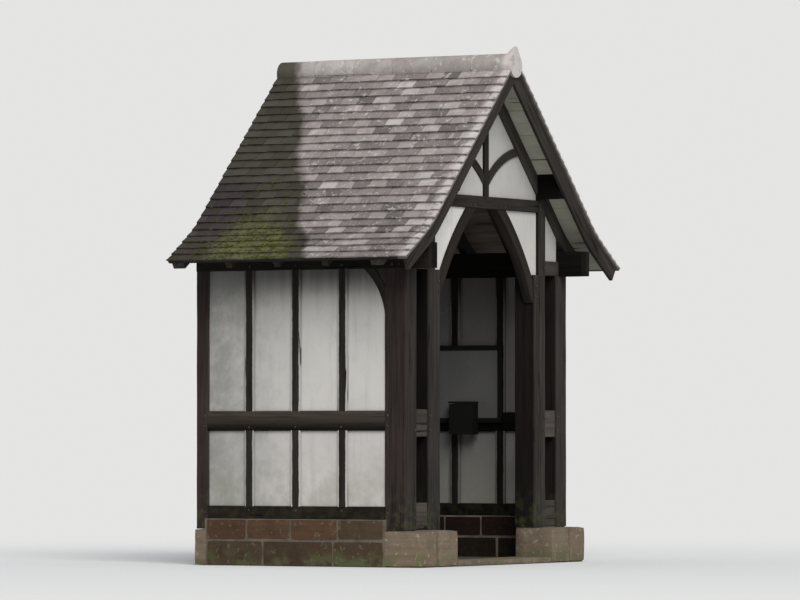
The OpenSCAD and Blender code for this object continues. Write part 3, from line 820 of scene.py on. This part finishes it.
def end_frames():
    """Posts, bars, ties, collars and king posts of the front and the rear frame."""
    for side, sign in SIDES:
        post = Builder()
        door_post(post, sign, FRONT_Y, WALL_Y - FRONT_Y)
        post.finish(f"oak_door_post_{side}", POST_OAK, "weathered_oak", [f"door_post_{side}"])

    rear = Builder()
    for _, sign in SIDES:
        door_post(rear, sign, REAR_IN_Y, REAR_Y - REAR_IN_Y)
        corner = ((sign * CORNER_X, REAR_IN_Y - SNUG, PAD_Z), (sign * HALF_W, REAR_Y, PLATE_Z))
        beam(rear, *corner, uneven=0.005)
    rear.finish("oak_rear_posts", POST_OAK, "weathered_oak", ["rear_posts"])

    for node in ("end_sills", "end_rails"):
        foot, top = low(node).z, high(node).z
        bars = [((sign * DOOR_OUT_X, y[0], foot), (sign * CORNER_X, y[1], top))
                for _, sign in SIDES for y in (FRONT_BARS, REAR_BARS)]
        boxes_of(beam, f"oak_{node}", FRONT_OAK, "weathered_oak", node, bars, along=0, uneven=0.004)

    shy = 0.004
    ties = [((sign * DOOR_OUT_X, y[0] + shy, PLATE_Z), (sign * PLATE_X, y[1] - shy, TIE_TOP))
            for _, sign in SIDES for y in FRAMES]
    boxes_of(beam, "oak_stub_ties", FRONT_OAK, "weathered_oak", "stub_ties", ties, along=0)
    shy = 0.002
    collars = [((-HEAD_X, y[0] + shy, COLLAR_Z), (HEAD_X, y[1] - shy, COLLAR_TOP)) for y in FRAMES]
    boxes_of(beam, "oak_collars", POST_OAK, "weathered_oak", "collars", collars)
    head = slope_z(0, PRINCIPAL_O + 0.03)
    kings = [((-KING_W / 2, y[0], COLLAR_TOP), (KING_W / 2, y[1], head)) for y in (FRONT_BARS, REAR_BARS)]
    boxes_of(beam, "oak_king_posts", POST_OAK, "weathered_oak", "king_posts", kings)


def roof_spot(s, o):
    """X and Z at a distance s down the slope from the middle, o below the top of the tiles."""
    if s <= RUN_MAIN:
        x, z, a = s * math.cos(PITCH), APEX_Z - s * math.sin(PITCH), PITCH
    else:
        past = s - RUN_MAIN
        a = max(FLARE, PITCH - past / BEND_R)
        rest = max(0, past - RUN_BEND)
        x = BEND_CX - BEND_R * math.sin(a) + rest * math.cos(a)
        z = BEND_CZ - BEND_R * math.cos(a) - rest * math.sin(a)
    return x - o * math.sin(a), z - o * math.cos(a)


def roof_point(sign, s, o, y):
    x, z = roof_spot(s, o)
    return Vector((sign * x, y, z))


def clay_tiles(side, sign):
    """Plain tiles in half bond, each one a cambered slab that rests on the course below."""
    tiles = Builder()
    courses = round((RUN - BARE_TOP) / TILE_GAUGE)
    width = (REAR_Y - VERGE_Y) / TILES_ACROSS
    for course in range(courses):
        tail = RUN - course * (RUN - BARE_TOP) / courses
        start = VERGE_Y - 0.5 * width * (course % 2)
        while start < REAR_Y - 0.02:
            y0, y1 = max(start, VERGE_Y), min(start + width, REAR_Y)
            start += width
            if y1 - y0 >= 0.03:
                one_tile(tiles, sign, tail, y0, y1)
    tiles.finish(f"clay_tiles_{side}", TILE, "clay_tile", [f"roof_tiles_{side}"], sharp=40)


def one_tile(out, sign, tail, y0, y1):
    gap = rng.uniform(0.0008, 0.0025)
    y0, y1 = y0 + gap, y1 - gap
    tail -= rng.uniform(0, 0.009)
    skew = rng.uniform(-0.005, 0.005)
    lift = rng.uniform(0, 0.004)
    roll = rng.uniform(-0.0015, 0.0015)
    camber = rng.uniform(0.001, 0.0035)
    seed = rng.uniform(0, 40)
    sink, tilt = 0.0065, TILE_TILT * TILE_L
    cells = 3
    row = cells + 1
    spots = []
    for layer in (0, 1):
        for v in [j / cells for j in range(row)]:
            for u in [i / cells for i in range(row)]:
                s = max(tail - skew * (u - 0.5) - v * TILE_L, TOP_GAP)
                o = sink - lift * (1 - v) + tilt * v + roll * (u - 0.5)
                o += camber * (2 * u - 1) ** 2 + layer * TILE_T
                grain = (u * (y1 - y0) + seed, v * TILE_L, layer * TILE_T + seed)
                spots.append((roof_point(sign, s, o, y0 + (y1 - y0) * u), grain))
    size = row * row
    faces = []
    for j in range(cells):
        for i in range(cells):
            quad = [j * row + i, j * row + i + 1, (j + 1) * row + i + 1, (j + 1) * row + i]
            faces += [quad, [size + a for a in reversed(quad)]]
    rim = list(range(cells)) + [j * row + cells for j in range(cells)]
    rim += [size - 1 - a for a in rim]
    faces += [[b, a, a + size, b + size] for a, b in zip(rim, rim[1:] + rim[:1])]
    out.add(spots, faces, rng.random())


def slope_slab(out, sign, run, depth, width, parts=1):
    """A strip that follows the slope. Its run, depth and width are each a start and an end."""
    spots = []
    seed = rng.uniform(0, 40)
    for k in range(parts + 1):
        s = run[0] + (run[1] - run[0]) * k / parts
        for o, y in ((depth[0], width[0]), (depth[0], width[1]), (depth[1], width[1]), (depth[1], width[0])):
            spots.append((roof_point(sign, s, o, y), (y + seed, s, o)))
    out.add(spots, tube(parts + 1, 4), rng.random())


def roof_boards(side, sign):
    """Boards under the tiles, the mortar along the front verge and the bed behind and under the tiles."""
    boards = Builder()
    end = RUN - 0.03 / math.cos(FLARE)
    count = round(end / SOFFIT_W)
    depth = (TILE_COAT + 0.0002, TILE_COAT + BOARD_T)
    for k in range(count):
        run = (max(k * end / count + 0.001, 0.072), (k + 1) * end / count - 0.002)
        slope_slab(boards, sign, run, depth, (PLATE_Y, REAR_Y - 0.001))
    boards.finish(f"soffit_boards_{side}", SOFFIT_OAK, "roof_board", [f"roof_boards_{side}"])

    verge, rear = VERGE_Y + VERGE_BED, REAR_Y - VERGE_BED
    bed = Builder()
    slope_slab(bed, sign, (0.03, RUN - 0.012), (0.017, TILE_COAT), (VERGE_Y + 0.003, verge), parts=40)
    bed.finish(f"verge_mortar_{side}", VERGE_MORTAR, "ridge_clay")
    back = Builder()
    depth = (0.022, TILE_COAT)
    slope_slab(back, sign, (0.03, RUN - 0.014), depth, (rear, REAR_Y - 0.012), parts=40)
    slope_slab(back, sign, (RUN - 0.16, RUN - 0.02), depth, (verge, rear))
    back.finish(f"tile_bed_{side}", BED_MORTAR, "ridge_clay")


def ridge_tiles():
    """Half-round ridge tiles with open joints between them."""
    tiles = Builder()
    length = (REAR_Y - VERGE_Y) / RIDGE_TILES
    parts, gap = 18, 0.004
    sweep = math.radians(112)
    turns = [math.pi / 2 - sweep + 2 * sweep * i / parts for i in range(parts + 1)]
    ring = [(a, RIDGE_R) for a in turns] + [(a, RIDGE_R - RIDGE_T) for a in reversed(turns)]
    around = len(ring)
    faces = tube(3, around)[:-2]
    for base in (0, 2 * around):
        last = base + around - 1
        faces += [[base + i, base + i + 1, last - 1 - i, last - i] for i in range(parts)]
    for k in range(RIDGE_TILES):
        y0, y1 = VERGE_Y + k * length, VERGE_Y + (k + 1) * length
        seed = rng.uniform(0, 40)
        sink = rng.uniform(0, 0.004)
        spots = []
        for y in (y0 + gap, (y0 + y1) / 2, y1 - gap):
            for a, r in ring:
                vertex = (r * math.cos(a), y, RIDGE_Z - sink + r * math.sin(a))
                spots.append((vertex, (r * a + seed, 0, y + seed)))
        tiles.add(spots, faces, rng.random())
    tiles.finish("ridge_tiles_clay", RIDGE_CLAY, "ridge_clay", ["ridge_tiles"], sharp=50)


def ridge_stop():
    """The raised end over the front gable, which sinks back into the first ridge tile."""
    steps, around, length = 7, 24, 0.088
    rise = STOP_Z - (RIDGE_Z + RIDGE_R)
    r = RIDGE_R - 0.004
    spots = []
    for k in range(steps + 1):
        t = k / steps
        y = VERGE_Y + 0.001 + length * t
        top = rise * (1 - t * t * 1.12) - 0.002
        for i in range(around):
            a = 2 * math.pi * i / around
            up = max(0, math.sin(a))
            x = r * math.cos(a) * (1 - 0.25 * up ** 2)
            z = r * math.sin(a) + top * up ** 6
            z += 0.002 * wobble((x * 9, y * 9, z * 9), 4, 3) - 0.002
            spots.append(((x, y, RIDGE_Z + z), (a, y, 0)))
    stop = Builder()
    stop.add(spots, tube(steps + 1, around), 0.9)
    stop.finish("ridge_stop", RIDGE_CLAY, "ridge_clay", sharp=50)


def ridge_mortar():
    """Mortar inside the half rounds, which shows at the joints, at the feet and as a disc at the rear end."""
    steps, row = 60, 21
    length = REAR_Y - VERGE_Y - 0.009
    dip = 0.46
    spots = []
    for k in range(steps + 1):
        y = VERGE_Y + 0.007 + length * k / steps
        for i in range(row):
            a = -dip + (math.pi + 2 * dip) * i / (row - 1)
            r = RIDGE_R - 0.007 + 0.003 * wobble((i * 0.2, y * 6, 0), 3, 2)
            spots.append(((r * math.cos(a), y, RIDGE_Z + r * math.sin(a)), (a, y, r)))
    core = Builder()
    core.add(spots, tube(steps + 1, row), 0.5)
    core.finish("ridge_mortar", RIDGE_MORTAR, "ridge_clay")


def moss_cushions():
    """Low cushions of moss on the damp part of both slopes, thickest near the eaves."""
    moss = Builder()
    for _, sign in SIDES:
        placed = 0
        while placed < MOSS_COUNT:
            course = int(abs(rng.gauss(0, 0.5)) / TILE_GAUGE)
            s = RUN - course * TILE_GAUGE - 0.004 - abs(rng.gauss(0, 0.022))
            y = rng.uniform(VERGE_Y + 0.02, REAR_Y - 0.02)
            if s < 0.3 or wobble((s, y, sign), 2, 4.5) < rng.uniform(-0.2, 0.25):
                continue
            past = y - (SHADOW_DAMP_TOP - SHADOW_DAMP_REACH * roof_spot(s, 0)[0] / EAVE_X)
            if past < rng.uniform(-0.12, 0.3) or y > MOSS_BACK + rng.uniform(-0.1, 0.45):
                continue
            placed += 1
            cushion(moss, sign, s, y, rng.uniform(0.005, 0.015))
    moss.finish("moss_cushions", MOSS, "clay_tile", sharp=80)


def cushion(out, sign, s, y, size):
    """A squashed dome that sits on the tiles."""
    around, rings, squash = 7, 3, 0.42
    stretch = rng.uniform(0.8, 1.6)
    turn = rng.uniform(0, math.pi)
    last_s = RUN - 0.004
    spots = []
    for j in range(rings):
        r = size * math.cos(j / rings * math.pi / 2)
        h = size * squash * math.sin(j / rings * math.pi / 2)
        o = 0.0085 - min(h, 0.0075) + 0.006 * (j == 0)
        for i in range(around):
            a = turn + 2 * math.pi * i / around
            reach = r * (1 + 0.2 * math.sin(3 * a + size * 900))
            edge_y = min(max(y + reach * stretch * math.sin(a), VERGE_Y + 0.004), REAR_Y - 0.004)
            edge_s = min(s + reach * math.cos(a), last_s)
            spots.append((roof_point(sign, edge_s, o, edge_y), (a, r, h)))
    spots.append((roof_point(sign, min(s, last_s), 0.001, y), (0, 0, size)))
    faces = tube(rings, around)
    crown = faces.pop()
    faces += [[crown[i], crown[(i + 1) % around], rings * around] for i in range(around)]
    out.add(spots, faces, rng.random())


def plinth_course(out, across, z, lengths):
    """One course of a side plinth: stones of lengths drawn from a range, their beds a little uneven."""
    total = REAR_IN_Y - WALL_Y
    drawn = []
    while sum(drawn) < total - lengths[0] * 0.5:
        drawn.append(rng.uniform(*lengths))
    at = WALL_Y
    for length in drawn:
        end = at + length * total / sum(drawn)
        foot = z[0] + rng.uniform(0, RAGGED) * (z[0] > 0)
        top = z[1] - rng.uniform(0, RAGGED)
        y0 = at + (JOINT / 2 if at > WALL_Y + 0.001 else 0.003)
        y1 = end - (JOINT / 2 if end < REAR_IN_Y - 0.001 else 0.003)
        rough_box(out, (across[0], y0, foot), (across[1], y1, top), edge=rng.uniform(0.01, 0.02),
                  uneven=rng.uniform(0.004, 0.009), bumps=14)
        at = end


def plinths():
    """Two courses of red stones a side, and the paler stones under the posts."""
    bed = 0.222
    for side, sign in SIDES:
        plinth = Builder()
        across = (sign * PLINTH_IN_X, sign * PLINTH_OUT_X)
        plinth_course(plinth, across, (0, bed - JOINT / 2), (0.42, 0.78))
        plinth_course(plinth, across, (bed + JOINT / 2, PLINTH_Z), (0.34, 0.7))
        plinth.finish(f"plinth_stones_{side}", RED_STONE, "red_sandstone", [f"plinth_{side}"], sharp=60)

    split = DOOR_IN_X + 0.345
    halves = ((DOOR_IN_X, split - JOINT / 2, 0), (split + JOINT / 2, PLINTH_OUT_X, 0.002))
    pads = [((sign * x0, PAD_Y + drop * 3, 0), (sign * x1, WALL_Y - 0.002, PAD_Z - drop))
            for _, sign in SIDES for x0, x1, drop in halves]
    boxes_of(rough_box, "plinth_stones_front", BUFF_STONE, "buff_sandstone", "plinth_front", pads,
             edge=0.024, uneven=0.009, bumps=7)
    rear = [((sign * DOOR_IN_X, REAR_IN_Y, 0), (sign * PLINTH_OUT_X, REAR_Y, PAD_Z)) for _, sign in SIDES]
    boxes_of(rough_box, "plinth_stones_rear", BUFF_STONE, "buff_sandstone", "plinth_rear", rear,
             uneven=0.005)


def paving():
    """The worn threshold and the flags of the floor."""
    step = ((-DOOR_IN_X, PAD_Y, 0), (DOOR_IN_X, WALL_Y - 0.003, THRESHOLD_Z))
    boxes_of(rough_box, "threshold_stone", BUFF_STONE, "buff_sandstone", "threshold", [step],
             edge=0.014, uneven=0.004, dip=0.006)

    flags = Builder()
    shy = 0.004

    def flag(x0, x1, y0, y1):
        rough_box(flags, (x0 + shy, y0 + shy, 0), (x1 - shy, y1, FLOOR_Z),
                  step=0.09, edge=0.008, uneven=0.003)

    rows = 5
    depth = (REAR_IN_Y - WALL_Y) / rows
    for k in range(rows):
        y0 = WALL_Y + k * depth
        at = -PLINTH_IN_X
        while at < PLINTH_IN_X - 0.01:
            end = min(at + rng.uniform(0.38, 0.66), PLINTH_IN_X)
            if PLINTH_IN_X - end < 0.25:
                end = PLINTH_IN_X
            flag(at, end, y0, y0 + depth - shy)
            at = end
    for x0, x1 in ((-DOOR_IN_X, -0.3), (-0.3, 0.32), (0.32, DOOR_IN_X)):
        flag(x0, x1, REAR_IN_Y, REAR_Y)
    flags.finish("floor_flags", FLAG_STONE, "stone_flags", ["floor"], sharp=60)


def mortar_beds():
    """Mortar behind the joints of the plinth and the pads, under the front posts and under the flags."""
    inset, deep, lap = 0.013, 0.026, 0.02
    bed = Builder()
    beds = ((PLINTH_IN_X + inset, PLINTH_OUT_X - inset, WALL_Y - lap, REAR_IN_Y + lap, 0, PLINTH_Z),
            (DOOR_IN_X + deep, PLINTH_OUT_X - deep, PAD_Y + deep, WALL_Y - inset, 0, PAD_Z - 0.024),
            (DOOR_IN_X + inset, HALF_W - inset, FRONT_Y + inset, WALL_Y - inset, PAD_Z - lap, PAD_Z))
    for _, sign in SIDES:
        for x0, x1, y0, y1, z0, z1 in beds:
            beam(bed, (sign * x0, y0, z0), (sign * x1, y1, z1), uneven=0)
    beam(bed, (-PLINTH_IN_X, WALL_Y - 0.01, 0), (PLINTH_IN_X, REAR_Y - 0.01, FLOOR_Z - 0.006), uneven=0)
    bed.finish("plinth_mortar", MORTAR, "stone_flags")


def peg(out, at, way):
    """The end of an oak peg, a little proud and cut with a slight taper."""
    at, way = Vector(at), Vector(way)
    up = Vector((0, 0, 1))
    other = way.cross(up)
    proud = rng.uniform(0.004, 0.01)
    turn = rng.uniform(0, 1)
    seed = rng.uniform(0, 40)
    sides = 8
    spots = []
    for depth, r in ((-0.01, PEG_R), (proud * 0.8, PEG_R * 0.98), (proud, PEG_R * 0.8)):
        for i in range(sides):
            a = turn + 2 * math.pi * i / sides
            b, c = r * math.cos(a), r * math.sin(a)
            spots.append((at + way * depth + up * c + other * b, (depth + seed, b, c)))
    out.add(spots, tube(3, sides), rng.uniform(0.6, 1))


def pegs():
    """Oak pegs through the tenons, on the outer faces of the side walls and on the front."""
    out = Builder()

    def side_peg(sign, y, z):
        peg(out, (sign * (HALF_W - 0.003), y, z), (sign, 0, 0))

    in_post, in_bar, in_collar, in_plate, in_rail = 0.028, 0.06, 0.03, 0.035, 0.032
    front = (((DOOR_OUT_X - in_post, CORNER_X + in_post),
              (low("end_rails").z + in_bar, high("end_rails").z - in_bar, PAD_Z + 0.1)),
             ((HEAD_X + in_post,), (COLLAR_Z + in_collar, COLLAR_TOP - in_collar)),
             ((DOOR_OUT_X - in_post,), ((PLATE_Z + TIE_TOP) / 2,)),
             ((DOOR_IN_X + 0.026,), (SPRING_Z + 0.06, SPRING_Z + 0.15)),
             ((0.23, 0.31), (COLLAR_Z + in_post,)),
             ((0.014,), (COLLAR_TOP - in_collar,)))
    for _, sign in SIDES:
        for y in (WALL_Y - 0.03, REAR_IN_Y + 0.03):
            for z in (RAIL_Z + 0.04, RAIL_TOP - 0.04, (PLINTH_Z + SILL_Z) / 2):
                side_peg(sign, y, z)
        for k in range(STUDS):
            y = WALL_Y + (k + 1) * BAY + (k + 0.5) * STUD_W
            for z in (SILL_Z - in_plate, RAIL_Z + in_rail, RAIL_TOP - in_rail, PLATE_Z + in_plate):
                side_peg(sign, y + rng.uniform(-0.008, 0.008), z)
        for y in (FRONT_Y + 0.06, FRONT_Y + 0.13):
            side_peg(sign, y, PLATE_Z + in_plate)

        for places, heights in front:
            for z in heights:
                for from_middle in places:
                    peg(out, (sign * from_middle, FRONT_Y + 0.003, z), (0, -1, 0))
    out.finish("oak_pegs", FRONT_OAK, "weathered_oak", sharp=40)


def fittings():
    """The notice board in its dark frame and the small box on the far wall."""
    lo, hi = low("notice_board"), high("notice_board")
    edge, lip, shy = 0.045, 0.012, 0.01
    panel = ((lo.x + lip, lo.y + shy, lo.z + shy), (hi.x, hi.y - shy, hi.z - shy))
    boxes_of(beam, "notice_panel", BOARD_PAINT, "board_paint", "notice_board", [panel],
             uneven=0, chamfer=0.001)
    rim = Builder()
    wear = {"uneven": 0.001, "chamfer": 0.003}
    for z0, z1 in ((lo.z, lo.z + edge), (hi.z - edge, hi.z)):
        beam(rim, (lo.x, lo.y, z0), (hi.x, hi.y, z1), **wear)
    for y0, y1 in ((lo.y, lo.y + edge), (hi.y - edge, hi.y)):
        beam(rim, (lo.x + 0.001, y0, lo.z + edge), (hi.x, y1, hi.z - edge), **wear)
    rim.finish("notice_frame", BOX_PAINT, "box_paint")

    lo, hi = low("wall_box"), high("wall_box")
    shy, lid, gap = 0.006, 0.02, 0.002
    wear = {"uneven": 0.001, "edge": 0.004}
    body = Builder()
    rough_box(body, (lo.x + shy, lo.y + shy, lo.z), (hi.x, hi.y - shy, hi.z - lid - gap), **wear)
    rough_box(body, (lo.x, lo.y, hi.z - lid), (hi.x, hi.y, hi.z), **wear)
    body.finish("wall_box_body", BOX_PAINT, "box_paint", ["wall_box"], sharp=40)


def dress_cad():
    """Materials for the CAD nodes that keep their own meshes, with small bevels on the sawn timbers."""
    # Purlin ends take the darker sill oak as painted shade under the eaves.
    kept = (("rafters_left", "rafters_right", ROOF_OAK, 0.004),
            ("principals_front", "principals_rear", FRONT_SLOPE, 0.005),
            ("barge_board_left", "barge_board_right", BARGE_OAK, 0.004),
            ("purlin_ends", SILL_AND_EAVE_SHADE_OAK, 0.004), ("ridge_beam", BEAM_OAK, 0.004), ("struts", STRUT_OAK, 0.006),
            ("arch_braces_front", "arch_braces_rear", ARCH_OAK, 0.01),
            ("knee_brace_left", "knee_brace_right", KNEE_OAK, 0.006))
    for *names, material, width in kept:
        for name in names:
            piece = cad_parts[name]
            paint(piece, material)
            piece.modifiers.new("weld", "WELD").merge_threshold = 0.0002
            bevel = piece.modifiers.new("bevel", "BEVEL")
            bevel.width = width
            bevel.segments = 2
            bevel.limit_method = "ANGLE"
            bevel.angle_limit = math.radians(40)
    for side, _ in SIDES:
        paint(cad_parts[f"panels_{side}"], WALL_PLASTER)
    for place in ("front", "rear"):
        paint(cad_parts[f"gable_panels_{place}"], GABLE_PLASTER)


def paint(piece, material):
    if piece.material_slots:
        for slot in piece.material_slots:
            slot.material = material
    else:
        piece.data.materials.append(material)


for side_name, side_sign in SIDES:
    side_wall(side_name, side_sign)
    clay_tiles(side_name, side_sign)
    roof_boards(side_name, side_sign)
end_frames()
ridge_tiles()
ridge_stop()
ridge_mortar()
moss_cushions()
plinths()
paving()
mortar_beds()
pegs()
fittings()
dress_cad()


def camera():
    """The photograph's viewpoint: low, far off and to the left of the front."""
    data = bpy.data.cameras.new("camera")
    data.sensor_width = 36
    data.lens = 248
    data.clip_end = 400
    eye = Vector((-42.08, -24.3275, 1.07))
    aim = Vector((0, -0.0175, 2.32))
    piece = put_in_scene("camera", data)
    piece.location = eye
    piece.rotation_euler = (aim - eye).to_track_quat("-Z", "Y").to_euler()
    bpy.context.scene.camera = piece


def key_light():
    """A wide soft sun from behind the camera's left shoulder."""
    sun = bpy.data.lights.new("key", "SUN")
    sun.energy = 2.7
    sun.angle = math.radians(35)
    way = Vector((-0.6, -0.56, 0.62))
    put_in_scene("key", sun).rotation_euler = way.to_track_quat("Z", "Y").to_euler()


def surroundings():
    """Soft light from all round, and a pale backdrop where the camera sees past the floor."""
    world = bpy.data.worlds.new("world")
    bpy.context.scene.world = world
    world.use_nodes = True
    nodes, links = world.node_tree.nodes, world.node_tree.links
    nodes.clear()
    output = nodes.new("ShaderNodeOutputWorld")
    blend = nodes.new("ShaderNodeMixShader")
    rays = nodes.new("ShaderNodeLightPath")
    links.new(rays.outputs["Is Camera Ray"], blend.inputs[0])
    for k, (colour, strength) in enumerate((((0.93, 0.96, 1, 1), 0.5), ((0.78, 0.78, 0.77, 1), 1))):
        light = nodes.new("ShaderNodeBackground")
        light.inputs["Color"].default_value = colour
        light.inputs["Strength"].default_value = strength
        links.new(light.outputs[0], blend.inputs[k + 1])
    links.new(blend.outputs[0], output.inputs[0])


def ground():
    """A pale round floor that fades out before the horizon."""
    radius, sides, z = 16, 96, -0.001
    turns = [2 * math.pi * i / sides for i in range(sides)]
    verts = [(0, 0, z)] + [(radius * math.cos(a), radius * math.sin(a), z) for a in turns]
    mesh = bpy.data.meshes.new("floor_disc")
    mesh.from_pydata(verts, [], [[0, 1 + i, 1 + (i + 1) % sides] for i in range(sides)])
    s = Shader("studio_floor", 0.95, 0)
    length = s.add("ShaderNodeVectorMath", {0: s.place}, operation="LENGTH").outputs["Value"]
    s.put(s.surface.inputs["Alpha"], s.span(length, 4, 14, 1, 0))
    s.colour = (0.72, 0.72, 0.71)
    mesh.materials.append(s.finish())
    put_in_scene("floor_disc", mesh)


camera()
key_light()
surroundings()
ground()
bpy.context.scene.view_settings.view_transform = "Standard"
